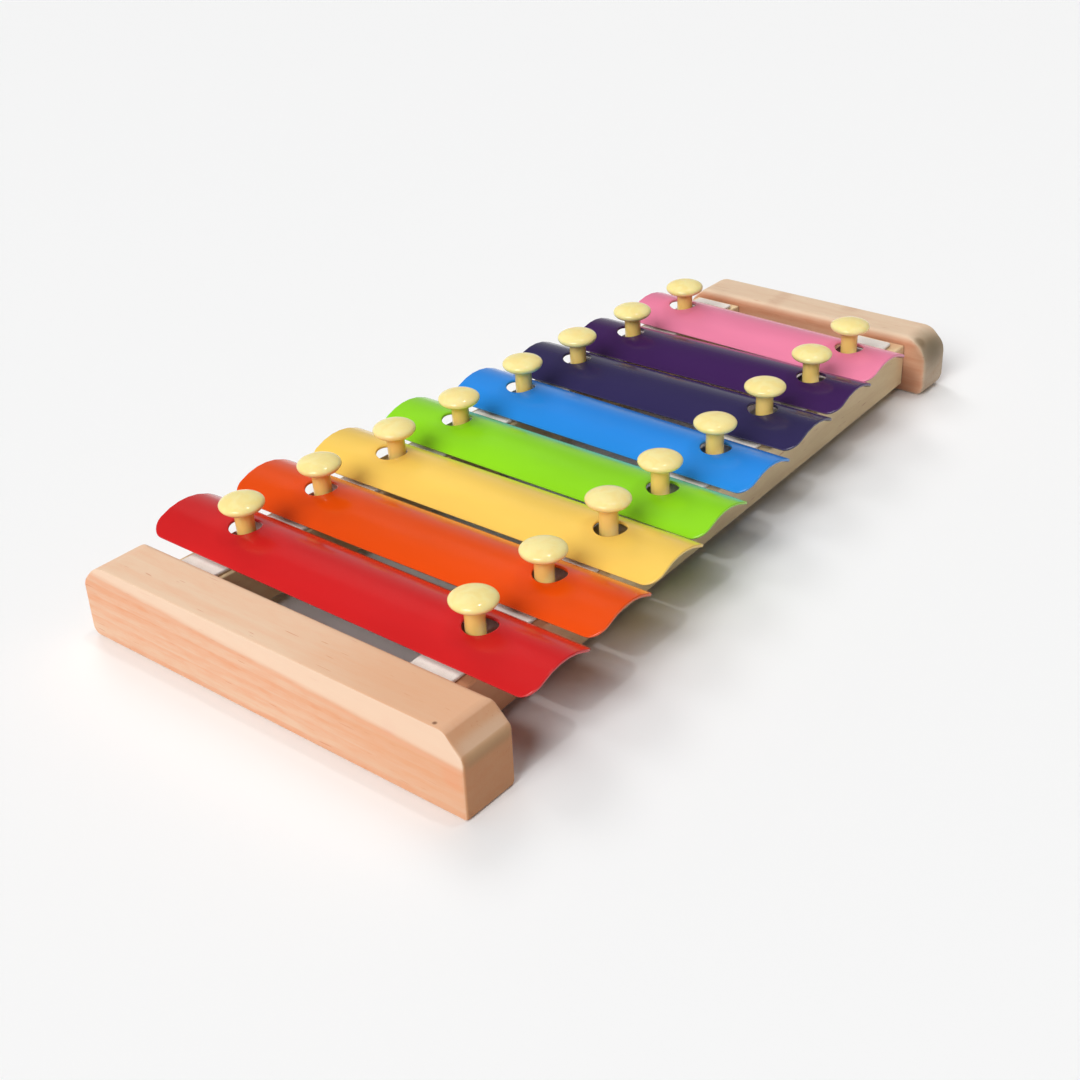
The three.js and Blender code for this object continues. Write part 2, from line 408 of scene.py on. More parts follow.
def cylinder(base, top, radius, sides=32):
    """A plain closed cylinder, to cut with."""
    axis = top - base
    turn = axis.to_track_quat("Z", "Y").to_matrix().to_4x4()
    mesh = bmesh.new()
    bmesh.ops.create_cone(
        mesh,
        cap_ends=True,
        segments=sides,
        radius1=radius,
        radius2=radius,
        depth=axis.length,
        matrix=Matrix.Translation((base + top) / 2) @ turn,
    )
    return bmesh_object("cutter", mesh)


def solid(rings):
    """A closed bmesh through rings of points. The first and the last ring are its ends."""
    mesh = bmesh.new()
    loops = [[mesh.verts.new(p) for p in ring] for ring in rings]
    mesh.faces.new(loops[0])
    mesh.faces.new(loops[-1][::-1])
    for near, far in zip(loops, loops[1:]):
        for k in range(len(near)):
            after = (k + 1) % len(near)
            mesh.faces.new((near[k], far[k], far[after], near[after]))
    bmesh.ops.recalc_face_normals(mesh, faces=mesh.faces)
    return mesh


def solid_cutter(rings):
    """The solid through rings of points, to cut with."""
    mesh = solid(rings)
    bmesh.ops.triangulate(mesh, faces=mesh.faces)
    return bmesh_object("cutter", mesh)


def apply_modifiers(obj):
    bpy.context.view_layer.update()
    made = bpy.data.meshes.new_from_object(obj.evaluated_get(bpy.context.evaluated_depsgraph_get()))
    obj.modifiers.clear()
    obj.data = made


def eased_prism(name, outline, depth_axis, low, high, share, width, cutters):
    """A prism with eased edges and cut holes, between two depths. outline lists (u, v) points, seen along
    depth_axis, and share(a, b) gives the share of the width by which the edge from a to b is eased."""
    axes = [k for k in range(3) if k != depth_axis]

    def corner(point, depth):
        place = [0.0, 0.0, 0.0]
        place[axes[0]], place[axes[1]] = point
        place[depth_axis] = depth
        return place

    mesh = solid([[corner(p, depth) for p in outline] for depth in (low, high)])
    layer = mesh.edges.layers.float.new("bevel_weight_edge")
    for edge in mesh.edges:
        edge[layer] = share(*(v.co for v in edge.verts))
    obj = bmesh_object(name, mesh)
    obj.data.shade_smooth()
    bevel = obj.modifiers.new("ease", "BEVEL")
    bevel.width = width
    bevel.segments = EASE_STRIPS
    bevel.limit_method = "WEIGHT"
    for cutter in cutters:
        hole = obj.modifiers.new("hole", "BOOLEAN")
        hole.operation = "DIFFERENCE"
        hole.solver = "EXACT"
        hole.object = cutter
    apply_modifiers(obj)
    for cutter in cutters:
        bpy.data.objects.remove(cutter)
    obj.data.set_sharp_from_angle(angle=math.radians(CREASE))
    normals = obj.modifiers.new("normals", "WEIGHTED_NORMAL")
    normals.keep_sharp = True
    apply_modifiers(obj)
    return obj


def lathe(name, profile, base, axis, sides):
    """A closed turned piece. profile lists (radius, height), from one point of the axis to another."""
    turn = axis.to_track_quat("Z", "Y").to_matrix()
    inner = profile[1:-1]
    vertices = [Vector((0, 0, profile[0][1]))]
    for radius, height in inner:
        for k in range(sides):
            angle = 2 * math.pi * k / sides
            vertices.append(Vector((radius * math.cos(angle), radius * math.sin(angle), height)))
    vertices.append(Vector((0, 0, profile[-1][1])))
    last = len(vertices) - 1
    faces = []
    for k in range(sides):
        after = (k + 1) % sides
        faces.append((0, 1 + after, 1 + k))
        for ring in range(len(inner) - 1):
            low = 1 + ring * sides
            faces.append((low + k, low + after, low + sides + after, low + sides + k))
        faces.append((last, last - sides + k, last - sides + after))
    return new_object(name, [base + turn @ v for v in vertices], faces)


# ---- materials -----------------------------------------------------------------------------------


def linear(red, green, blue):
    """Screen colour (sRGB), 0 to 255, to the linear colour that a shader takes."""

    def one(value):
        value /= 255
        return value / 12.92 if value <= 0.04045 else ((value + 0.055) / 1.055) ** 2.4

    return (one(red), one(green), one(blue), 1)


class Nodes:
    """A material's node tree, with short calls for the nodes that the materials below share."""

    def __init__(self, name):
        self.material = bpy.data.materials.new(name)
        self.material.use_nodes = True
        self.tree = self.material.node_tree
        self.shader = self.tree.nodes["Principled BSDF"]
        where = self.add("ShaderNodeTexCoord")
        self.object = where.outputs["Object"]
        self.normal = where.outputs["Normal"]

    def add(self, kind, **settings):
        node = self.tree.nodes.new(kind)
        for key, value in settings.items():
            setattr(node, key, value)
        return node

    def put(self, socket, value):
        if isinstance(value, bpy.types.NodeSocket):
            self.tree.links.new(value, socket)
        else:
            socket.default_value = value

    def place(self, scale=(1, 1, 1), shift=(0, 0, 0)):
        """Coordinates in millimetres, scaled along each axis and shifted."""
        node = self.add("ShaderNodeMapping")
        self.put(node.inputs["Vector"], self.object)
        node.inputs["Scale"].default_value = [s / MM for s in scale]
        node.inputs["Location"].default_value = shift
        return node.outputs["Vector"]

    def separate(self, vector):
        node = self.add("ShaderNodeSeparateXYZ")
        self.put(node.inputs[0], vector)
        return node.outputs

    def noise(self, vector, scale, detail=2.0, roughness=0.5, distortion=0.0):
        node = self.add("ShaderNodeTexNoise")
        self.put(node.inputs["Vector"], vector)
        node.inputs["Scale"].default_value = scale
        node.inputs["Detail"].default_value = detail
        node.inputs["Roughness"].default_value = roughness
        node.inputs["Distortion"].default_value = distortion
        return node.outputs["Fac"]

    def math(self, operation, a, b=0.0, clamp=False):
        node = self.add("ShaderNodeMath", operation=operation, use_clamp=clamp)
        self.put(node.inputs[0], a)
        self.put(node.inputs[1], b)
        return node.outputs[0]

    def remap(self, value, low, high, to_low=0.0, to_high=1.0):
        node = self.add("ShaderNodeMapRange", interpolation_type="SMOOTHSTEP")
        self.put(node.inputs["Value"], value)
        node.inputs["From Min"].default_value = low
        node.inputs["From Max"].default_value = high
        node.inputs["To Min"].default_value = to_low
        node.inputs["To Max"].default_value = to_high
        return node.outputs["Result"]

    def mix(self, share, a, b, blend="MIX"):
        node = self.add("ShaderNodeMix", data_type="RGBA", blend_type=blend)
        self.put(node.inputs["Factor"], share)
        self.put(node.inputs["A"], a)
        self.put(node.inputs["B"], b)
        return node.outputs["Result"]

    def bump(self, height, distance, strength=1.0):
        node = self.add("ShaderNodeBump")
        self.put(node.inputs["Height"], height)
        node.inputs["Distance"].default_value = distance
        node.inputs["Strength"].default_value = strength
        self.put(self.shader.inputs["Normal"], node.outputs["Normal"])


def stretched(axis, share):
    """A scale that leaves a noise only a share of its changes along one axis."""
    scale = [1, 1, 1]
    scale[axis] = share
    return scale


def distance(n, axes, centre):
    """How far a place is from a centre, over the two axes given."""
    first, second = (n.math("SUBTRACT", axis, at) for axis, at in zip(axes, centre))
    square = n.math("ADD", n.math("MULTIPLY", first, first), n.math("MULTIPLY", second, second))
    return n.math("SQRT", square)


def show_marks(n, colour, marks):
    """Knots, nicks, stained patches and patches of painted light and shade, each strongest at its place and
    gone at its reach.
    """
    for place, reach, strength, mark_tint in marks:
        node = n.add("ShaderNodeVectorMath", operation="DISTANCE")
        n.put(node.inputs[0], n.object)
        node.inputs[1].default_value = place
        near = n.remap(node.outputs["Value"], reach, reach * MARK_CORE)
        near = n.math("MULTIPLY", near, strength)
        colour = n.mix(near, colour, linear(*mark_tint))
    return colour


def show_facet(n, colour, aside):
    """The planed facet's paler wood and the line below it, by height above the facet's lower edge, in
    millimetres, on faces that look towards -X."""
    places = n.separate(n.place())
    edge_height = n.math("ADD", n.math("MULTIPLY", places[1], PLANED_TWIST), PLANED_HEIGHT / MM)
    above = n.math("SUBTRACT", places[2], edge_height)
    outer = n.remap(aside, -0.3, -0.7)
    bared = n.math("MULTIPLY", n.remap(above, -0.4, 1.3), outer)
    colour = n.mix(n.math("MULTIPLY", bared, 0.75), colour, linear(*PLANED_WOOD))
    line = n.math("MULTIPLY", n.remap(above, -1.6, -0.7), n.remap(above, 0.2, -0.4))
    line = n.math("MULTIPLY", line, outer)
    return n.mix(n.math("MULTIPLY", line, 0.5), colour, linear(*PLANED_LINE))


def wood(
    name,
    grain,
    heart,
    pale,
    dark,
    end,
    shift,
    marks=(),
    flank_shade=(1, 1, 1),
    flank_from=0.75,
    planed=False,
):
    """Bare sanded wood. grain is the axis that the fibres follow, heart the place of the tree's heart
    across it, in millimetres, pale and dark its tones, and end the tint of the grain's cut ends. shift
    moves its figure, so that no two woods share one. marks are knots, nicks, stained patches and patches
    of painted light and shade: place and reach in metres, strength and colour. flank_shade is painted
    shade: it tints the faces that look along X, where the rings show more, once their normal's share
    along X is over flank_from. planed wood is paler on its facet, with a darker line below it."""
    n = Nodes(name)

    def figure(stretch, scale, detail, roughness=0.5, offset=0):
        """A noise drawn out along the grain, and moved by an offset to differ from the others."""
        where = n.place(scale=stretched(grain, stretch), shift=[s + offset for s in shift])
        return n.noise(where, scale, detail, roughness)

    warp = figure(0.03, 0.09, 2)
    fibre = figure(0.03, 2.6, 5, 0.65)
    streak = figure(0.03, 0.4, 3, 0.6, offset=40)
    broad = figure(0.03, 0.12, 2, offset=90)
    mottle = figure(0.22, 0.7, 4, 0.6, offset=60)
    line = n.remap(figure(0.07, 1.9, 1, offset=20), 0.71, 0.76)

    axes = n.separate(n.place(scale=stretched(grain, 0)))
    across = [axes[k] for k in range(3) if k != grain]
    bent = n.math("ADD", distance(n, across, heart), n.math("MULTIPLY", warp, RING_WARP))
    ring = n.math("FRACT", n.math("DIVIDE", bent, RING_SPACING))
    late = n.math("MULTIPLY", n.remap(ring, 0.2, 0.9), n.remap(ring, 1.0, 0.92))
    tone = n.math("MULTIPLY", late, 0.3)
    tone = n.math("ADD", tone, n.remap(streak, 0.42, 0.72, 0.0, 0.3))
    tone = n.math("ADD", tone, n.remap(broad, 0.36, 0.66, 0.0, 0.45))
    tone = n.math("ADD", tone, n.remap(mottle, 0.35, 0.7, -0.12, 0.2))
    tone = n.math("ADD", tone, n.remap(fibre, 0.35, 0.7, -0.05, 0.08), clamp=True)
    aside = n.separate(n.normal)
    turned = n.remap(n.math("ABSOLUTE", aside[0]), flank_from, 0.97)
    tone = n.math("MULTIPLY", tone, n.math("ADD", n.math("MULTIPLY", turned, 0.5), 0.5))
    colour = n.mix(tone, linear(*pale), linear(*dark))
    # Painted shade: faces that look along X are tinted by flank_shade to match how the light falls on them.
    colour = n.mix(turned, colour, n.mix(1.0, colour, (*flank_shade, 1), "MULTIPLY"))
    line_colour = linear(dark[0] * 0.86, dark[1] * 0.66, dark[2] * 0.58)
    colour = n.mix(n.math("MULTIPLY", line, 0.5), colour, line_colour)
    colour = show_marks(n, colour, marks)
    if planed:
        colour = show_facet(n, colour, aside[0])
    facing = n.math("ABSOLUTE", aside[grain])
    colour = n.mix(n.remap(facing, 0.5, 0.9), colour, n.mix(1.0, colour, (*end, 1), "MULTIPLY"))
    n.put(n.shader.inputs["Base Color"], colour)
    n.put(n.shader.inputs["Roughness"], n.remap(fibre, 0.3, 0.75, 0.52, 0.68))
    n.shader.inputs["Specular IOR Level"].default_value = 0.25
    relief = n.math("ADD", n.math("MULTIPLY", fibre, 0.6), n.math("MULTIPLY", line, -0.5))
    n.bump(relief, 0.04 * MM, 0.5)
    return n.material


def line_of_marks(start, end, count, reach, strength, mark_tint):
    shares = [k / (count - 1) for k in range(count)]
    return [(tuple(Vector(start).lerp(end, share)), reach, strength, mark_tint) for share in shares]


def enamel(name, colour):
    """Stoved paint on sheet metal: an even colour with faint clouds, a slight orange peel and fine dust,
    painted lighter along the edges and ends as a painted highlight, and darker on the underside as
    painted shade under the bars."""
    n = Nodes(name)
    clouds = n.noise(n.place(scale=(1, 0.25, 1)), 0.05, detail=3)
    base = linear(*colour)
    deeper = linear(*(c * 0.96 for c in colour))
    paint = n.mix(n.remap(clouds, 0.35, 0.65), base, deeper)
    # Painted highlight: a lighter tone for the sheet's edges and ends.
    edge_highlight = linear(*(c + (235 - c) * 0.12 for c in colour))
    shaded_underside = linear(*(c * 0.7 + 8 for c in colour))
    aside = n.separate(n.normal)
    # Painted shade: faces that look down, the bars' undersides, are painted darker to darken the space
    # under the bars.
    paint = n.mix(n.remap(aside[2], -0.1, -0.4), paint, shaded_underside)
    # Painted highlight: faces that turn far towards X, and the bars' ends, get the lighter tone.
    rim = n.math(
        "MAXIMUM",
        n.remap(n.math("ABSOLUTE", aside[0]), 0.76, 0.9),
        n.remap(n.math("ABSOLUTE", aside[1]), 0.5, 0.9),
    )
    n.put(n.shader.inputs["Base Color"], n.mix(n.math("MULTIPLY", rim, 0.8), paint, edge_highlight))
    rub = n.noise(n.place(scale=(1, 0.15, 1)), 0.35, detail=4, roughness=0.6)
    n.put(n.shader.inputs["Roughness"], n.remap(rub, 0.3, 0.7, 0.15, 0.22))
    n.shader.inputs["Specular IOR Level"].default_value = 0.6
    peel = n.noise(n.place(), 0.5, detail=1)
    dust = n.remap(n.noise(n.place(), 5.0, detail=1), 0.74, 0.8)
    n.bump(n.math("ADD", peel, n.math("MULTIPLY", dust, 0.5)), 0.015 * MM, 0.3)
    return n.material


def plastic(name):
    """Moulded cream plastic, slightly see-through, with faint flow marks, and stems painted a deeper tone
    as painted shade under the caps.
    """
    n = Nodes(name)
    flow = n.noise(n.place(scale=(1, 1, 0.4)), 0.3, detail=3, distortion=0.6)
    cap = n.mix(n.remap(flow, 0.35, 0.65), linear(255, 236, 166), linear(253, 229, 152))
    height = n.separate(n.place())[2]
    # Painted shade: the stems, under the caps, are painted a deeper tone than the caps.
    colour = n.mix(n.remap(height, *SHADE_HEIGHTS), linear(*STEM_SHADE), cap)
    n.put(n.shader.inputs["Base Color"], colour)
    scuff = n.noise(n.place(), 1.4, detail=4, roughness=0.65)
    n.put(n.shader.inputs["Roughness"], n.remap(scuff, 0.35, 0.7, 0.13, 0.19))
    n.shader.inputs["Subsurface Weight"].default_value = 0.3
    n.shader.inputs["Subsurface Radius"].default_value = (1.0, 0.7, 0.3)
    n.shader.inputs["Subsurface Scale"].default_value = 1.2 * MM
    n.shader.inputs["IOR"].default_value = 1.49
    n.bump(n.noise(n.place(), 1.1, detail=2), 0.01 * MM, 0.3)
    return n.material


def foam(name):
    """Off-white soft foam with very fine pores."""
    n = Nodes(name)
    cells = n.add("ShaderNodeTexVoronoi", feature="F1")
    n.put(cells.inputs["Vector"], n.place())
    cells.inputs["Scale"].default_value = 4.5
    pore = n.remap(cells.outputs["Distance"], 0.05, 0.45)
    grime = n.noise(n.place(), 0.3, detail=3)
    colour = n.mix(n.remap(grime, 0.35, 0.7), linear(246, 238, 229), linear(239, 229, 219))
    n.put(n.shader.inputs["Base Color"], n.mix(pore, linear(224, 214, 205), colour))
    n.put(n.shader.inputs["Roughness"], n.remap(grime, 0.3, 0.7, 0.85, 0.97))
    n.shader.inputs["Sheen Weight"].default_value = 0.1
    fuzz = n.noise(n.place(), 3.0, detail=3)
    n.bump(n.math("ADD", pore, n.math("MULTIPLY", fuzz, 0.5)), 0.06 * MM, 0.5)
    return n.material


def matte(name, colour):
    n = Nodes(name)
    n.shader.inputs["Base Color"].default_value = colour
    n.shader.inputs["Roughness"].default_value = 0.9
    return n.material


# ---- bars ----------------------------------------------------------------------------------------


class Bar:
    """Where a bar lies, its size and its arch, all read from its CAD node."""

    def __init__(self, note):
        self.name = f"bar_{note}"
        points = node_points(self.name)
        low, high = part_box(self.name)
        self.middle = (low + high) / 2
        lowest = points[points[:, 2] < low.z + SAME_HEIGHT]
        edge = lowest[lowest[:, 0] > self.middle.x]
        run = edge[edge[:, 1].argmax()] - edge[edge[:, 1].argmin()]
        self.skew = -math.atan2(run[0], run[1])
        local = self.to_local(points[:, :2])
        self.half_width = local[:, 0].max()
        self.half_length = local[:, 1].max()

        # The arch's half angle, found step by step: its rise and the sheet's slanting edge make up the
        # bar's height.
        height = high.z - low.z
        angle = ARCH_FIRST_ANGLE
        for _ in range(ARCH_ROUNDS):
            angle = 2 * math.atan((height - SHEET * math.cos(angle)) / self.half_width)
        self.angle = angle
        self.radius = self.half_width / math.sin(angle)
        self.centre_z = high.z - self.radius

        near_crest = abs(local[:, 0]) < self.half_width / 2
        off_ends = abs(local[:, 1]) < self.half_length - BAR_CORNER
        inside = local[near_crest & off_ends]
        self.holes = []
        for side in ROWS.values():
            rim = inside[inside[:, 1] * side > 0]
            reach = (rim.max(0) - rim.min(0)) / 2
            self.holes.append(((rim.max(0) + rim.min(0)) / 2, reach[1]))

    def to_local(self, points):
        """Plan points in the bar's own axes, across and along it."""
        offset = points - np.array(self.middle[:2])
        c, s = math.cos(self.skew), math.sin(self.skew)
        return np.stack([offset[:, 0] * c + offset[:, 1] * s, offset[:, 1] * c - offset[:, 0] * s], 1)

    def to_frame(self, across, along, z):
        c, s = math.cos(self.skew), math.sin(self.skew)
        x = self.middle.x + across * c - along * s
        y = self.middle.y + across * s + along * c
        return np.stack([x, y, z], 1)

    def build(self):
        def place(points, share):
            """Plane points are arc length from the crest and distance along the bar."""
            turn = points[:, 0] / self.radius
            radius = self.radius - SHEET * (1 - share)
            return self.to_frame(radius * np.sin(turn), points[:, 1], self.centre_z + radius * np.cos(turn))

        outline = rounded_rectangle(self.half_width, self.half_length, BAR_CORNER, BAR_CORNER_STEPS)
        outline = divided(outline, BAR_OUTLINE_STEP)
        reach = np.clip(outline[:, 0] / self.radius, -1, 1)
        outline[:, 0] = self.radius * np.arcsin(reach)
        half = self.radius * self.angle
        holes = [circle(centre, radius, HOLE_SIDES) for centre, radius in self.holes]
        grid = grid_points(
            np.linspace(-half, half, BAR_STRIPS + 1),
            np.arange(-self.half_length, self.half_length, BAR_STEP),
        )
        return plate(self.name + "_sheet", [outline, *holes], grid, place, SHEET, BAR_EDGE)


# ---- rails and foam ------------------------------------------------------------------------------


class Row:
    """A row of pins: the slanting line that its rail and foam strip follow."""

    def __init__(self, row):
        first, last = (self.foot(f"{row}_pin_{number}") for number in (PIN_NUMBERS[0], PIN_NUMBERS[-1]))
        self.slope = (last.y - first.y) / (last.x - first.x)
        self.start = first.y - self.slope * first.x

    @staticmethod
    def foot(node):
        points = node_points(node)
        low = points[points[:, 2] < points[:, 2].min() + FOOT_DEPTH]
        return Vector(low.mean(0))

    def y(self, x):
        return self.start + self.slope * x

    def band(self, node):
        """The strip's two ends along X, its middle line's distance from the pins, and its half width."""
        low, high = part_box(node)
        points = node_points(node)
        off = points[:, 1] - self.y(points[:, 0])
        return low.x, high.x, (off.max() + off.min()) / 2, (off.max() - off.min()) / 2


def pin_axis(node):
    """The tip of a pin's shank and the top of its cap."""
    points = node_points(node)
    return Row.foot(node), Vector(points[points[:, 2].argmax()])


def pin_cutters(row):
    """Cylinders for the pins' holes in a rail, from below each tip to above the rail."""
    cutters = []
    for number in PIN_NUMBERS:
        tip, top = pin_axis(f"{row}_pin_{number}")
        axis = (top - tip).normalized()
        bottom = tip - axis * TIP_HOLE_REACH
        cutters.append(cylinder(bottom, tip + axis * RAIL_HOLE_REACH, SHANK_RADIUS + PIN_CLEARANCE))
    return cutters


def dowel_cutter(node):
    low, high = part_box(node)
    middle = (low + high) / 2
    radius = (high.z - low.z) / 2 + PIN_CLEARANCE
    reach = Vector(((high.x - low.x) / 2 + PIN_CLEARANCE, 0, 0))
    return cylinder(middle - reach, middle + reach, radius)


def build_rail(row, line):
    node = f"{row}_rail"
    first, last, offset, half = line.band(node)
    low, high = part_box(node)
    corners = ((first, -half), (last, -half), (last, half), (first, half))
    outline = [(x, line.y(x) + offset + across) for x, across in corners]
    cutters = [dowel_cutter(f"{end}_{row}_dowel") for end in ENDS] + pin_cutters(row)

    def share(a, b):
        return RAIL_UPRIGHT_SHARE if abs(a.z - b.z) > MM else 1.0

    return eased_prism(f"{row}_rail_wood", outline, Z_AXIS, low.z, high.z, share, RAIL_EASE, cutters)


def build_foam(row, line):
    """A strip with soft edges and a slightly wavering top."""
    node = f"{row}_foam_strip"
    first, last, offset, half = line.band(node)
    low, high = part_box(node)
    thickness = high.z - low.z

    def place(points, share):
        x = points[:, 0]
        y = line.y(x) + offset + points[:, 1]
        waver = 0.5 + 0.5 * np.sin(x / FOAM_WAVES[0]) * np.cos(x / FOAM_WAVES[1])
        return np.stack([x, y, low.z + (thickness - FOAM_WAVER * waver) * share], 1)

    middle = (first + last) / 2
    outline = rounded_rectangle((last - first) / 2, half, FOAM_CORNER, FOAM_CORNER_STEPS)
    outline = divided(outline + [middle, 0], FOAM_STEP)
    holes = []
    for number in PIN_NUMBERS:
        tip, top = pin_axis(f"{row}_pin_{number}")
        at = tip.lerp(top, (low.z - tip.z) / (top.z - tip.z))
        centre = (at.x, at.y - line.y(at.x) - offset)
        holes.append(circle(centre, STEM_RADIUS + PIN_CLEARANCE, FOAM_HOLE_SIDES))
    grid = grid_points(np.arange(first, last, FOAM_STEP), np.linspace(-half, half, FOAM_STRIPS + 1))
    return plate(f"{row}_foam", [outline, *holes], grid, place, thickness, FOAM_EDGE)


# ---- pins ----------------------------------------------------------------------------------------


def pin_profile(length):
    """Radius and height of a pin's outline, from the tip of its shank to the top of its cap."""
    rim = length - CAP_DOME
    under = rim - CAP_UNDER
    throat = under - CAP_CONE
    profile = [
        (0, 0),
        (SHANK_RADIUS * TIP_SHARE, 0),
        (SHANK_RADIUS, TIP_LENGTH),
        (SHANK_RADIUS, SHOULDER_ABOVE_TIP - SHOULDER_EASE),
        (SHANK_RADIUS, SHOULDER_ABOVE_TIP),
        (STEM_RADIUS - SHOULDER_EASE, SHOULDER_ABOVE_TIP),
        (STEM_RADIUS, SHOULDER_ABOVE_TIP + SHOULDER_EASE),
        (STEM_RADIUS, (SHOULDER_ABOVE_TIP + throat) / 2),
    ]
    for k in range(FILLET_STEPS + 1):
        angle = math.radians(FILLET_TURN * k / FILLET_STEPS)
        out = STEM_FILLET * (1 - math.cos(angle))
        profile.append((STEM_RADIUS + out, throat - STEM_FILLET * (1 - math.sin(angle))))
    flare = CAP_RADIUS * CAP_UNDER_SHARE
    profile.append(((profile[-1][0] + flare) / 2, (throat + under) / 2))
    bow = math.acos(CAP_UNDER_SHARE)
    for k in range(CAP_UNDER_STEPS + 1):
        angle = bow * (1 - k / CAP_UNDER_STEPS)
        drop = CAP_UNDER * math.sin(angle) / math.sin(bow)
        profile.append((CAP_RADIUS * math.cos(angle), rim - drop))
    for k in range(1, CAP_DOME_STEPS):
        angle = math.radians(90 * k / CAP_DOME_STEPS)
        profile.append((CAP_RADIUS * math.cos(angle), rim + CAP_DOME * math.sin(angle)))
    profile.append((0, length))
    return profile


def build_pin(node):
    tip, top = pin_axis(node)
    length = (top - tip).length - TOP_CLEARANCE
    return lathe(f"{node}_moulding", pin_profile(length), tip, top - tip, PIN_SIDES)


# ---- end blocks ----------------------------------------------------------------------------------


def corner_cutter(outline, index, radius, low, high):
    """What rounding a corner of a block's (y, z) outline takes away, along all of X."""
    corner = np.array(outline[index])
    sides = []
    for other in (outline[index - 1], outline[(index + 1) % len(outline)]):
        run = np.array(other) - corner
        sides.append(run / np.linalg.norm(run))
    half = math.acos(sides[0] @ sides[1]) / 2
    inward = (sides[0] + sides[1]) / np.linalg.norm(sides[0] + sides[1])
    middle = corner + inward * radius / math.sin(half)
    first, last = (corner + side * radius / math.tan(half) - middle for side in sides)
    points = [corner - inward * WIDE_REACH / 4]
    for k in range(ROUND_CORNER_STEPS + 1):
        share = k / ROUND_CORNER_STEPS
        spoke = first * (1 - share) + last * share
        points.append(middle + spoke * radius / np.linalg.norm(spoke))
    depths = (low.x - CUTTER_REACH, high.x + CUTTER_REACH)
    return solid_cutter([[(x, *p) for p in points] for x in depths])


def facet_cutter(low, high):
    """What the plane takes off a block's outer top edge: a slice whose face twists along the block."""
    rings = []
    for y in np.linspace(low.y - CUTTER_REACH, high.y + CUTTER_REACH, PLANED_STEPS + 1):
        upper = Vector((low.x + PLANED_TOP, y, high.z))
        lower = Vector((low.x, y, PLANED_HEIGHT + PLANED_TWIST * y))
        run = (upper - lower).normalized() * WIDE_REACH / 2
        outer = Vector((low.x - WIDE_REACH, y, high.z + WIDE_REACH))
        rings.append((lower - run, upper + run, outer))
    return solid_cutter(rings)


def build_block(end):
    node = f"{end}_end_block"
    low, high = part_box(node)
    slope = SLOPE_SHARE * (high.z - low.z)
    outline = [
        (low.y, low.z),
        (high.y, low.z),
        (high.y, high.z - slope),
        (high.y - slope, high.z),
        (low.y + slope, high.z),
        (low.y, high.z - slope),
    ]
    eases = EASES[end]
    widest = max(eases.values())

    def share(a, b):
        """The ease of the edge from a to b, as a share of the block's widest."""
        middle = (a + b) / 2
        row = "front" if middle.y < 0 else "rear"
        side = "low" if middle.x < (low.x + high.x) / 2 else "high"
        bottom = middle.z < low.z + MM
        if abs(b.x - a.x) > MM:
            kind = f"{row}_bottom" if bottom else f"{row}_slope"
        elif middle.z > high.z - MM:
            kind = f"{side}_top"
        else:
            kind = f"{side}_bottom" if bottom else "upright"
        return eases[kind] / widest

    cutters = [dowel_cutter(f"{end}_{row}_dowel") for row in ROWS]
    if end == "low":
        rear_bottom = outline.index((high.y, low.z))
        cutters.append(corner_cutter(outline, rear_bottom, ROUND_CORNER, low, high))
        cutters.append(facet_cutter(low, high))
    ease = widest * MM
    return eased_prism(f"{end}_block_wood", outline, X_AXIS, low.x, high.x, share, ease, cutters)


# ---- stage ---------------------------------------------------------------------------------------


def add_sun(name, towards, strength, spread, glossy):
    data = bpy.data.lights.new(name, "SUN")
    data.energy = strength
    data.angle = math.radians(spread)
    light = add_object(name, data)
    light.rotation_mode = "QUATERNION"
    light.rotation_quaternion = (-Vector(towards)).to_track_quat("-Z", "Y")
    light.visible_glossy = glossy


def add_surroundings():
    """A dim white room, brighter low down towards the backdrop behind the object."""
    world = bpy.data.worlds.new("studio")
    world.use_nodes = True
    tree = world.node_tree
    background = tree.nodes["Background"]
    background.inputs["Color"].default_value = (1, 1, 1, 1)
    where = tree.nodes.new("ShaderNodeTexCoord").outputs["Generated"]

    towards = tree.nodes.new("ShaderNodeVectorMath")
    towards.operation = "DOT_PRODUCT"
    towards.inputs[1].default_value = BACKDROP
    tree.links.new(where, towards.inputs[0])
    behind = tree.nodes.new("ShaderNodeMapRange")
    behind.inputs["To Max"].default_value = BACKDROP_LIGHT
    tree.links.new(towards.outputs["Value"], behind.inputs["Value"])

    axes = tree.nodes.new("ShaderNodeSeparateXYZ")
    tree.links.new(where, axes.inputs[0])
    low = tree.nodes.new("ShaderNodeMapRange")
    low.interpolation_type = "SMOOTHSTEP"
    low.inputs["From Min"].default_value = 0.0
    low.inputs["From Max"].default_value = BACKDROP_TOP
    low.inputs["To Min"].default_value = 1.0
    low.inputs["To Max"].default_value = 0.0
    tree.links.new(axes.outputs["Z"], low.inputs["Value"])

    strength = tree.nodes.new("ShaderNodeMath")
    strength.operation = "MULTIPLY_ADD"
    strength.inputs[2].default_value = ROOM_LIGHT
    tree.links.new(behind.outputs["Result"], strength.inputs[0])
    tree.links.new(low.outputs["Result"], strength.inputs[1])
    tree.links.new(strength.outputs[0], background.inputs["Strength"])
    bpy.context.scene.world = world


def add_stage():
    signs = ((-1, -1), (1, -1), (1, 1), (-1, 1))
    corners = [(x * FLOOR_HALF, y * FLOOR_HALF, -FLOOR_DROP) for x, y in signs]
    floor = new_object("floor", corners, [(0, 1, 2, 3)])
    floor.data.materials.append(matte("floor", (FLOOR_GREY, FLOOR_GREY, FLOOR_GREY, 1)))

    add_surroundings()
    for name, settings in SUNS.items():
        add_sun(name, *settings)
    bpy.context.scene.view_settings.view_transform = "Standard"


# ---- woods ---------------------------------------------------------------------------------------


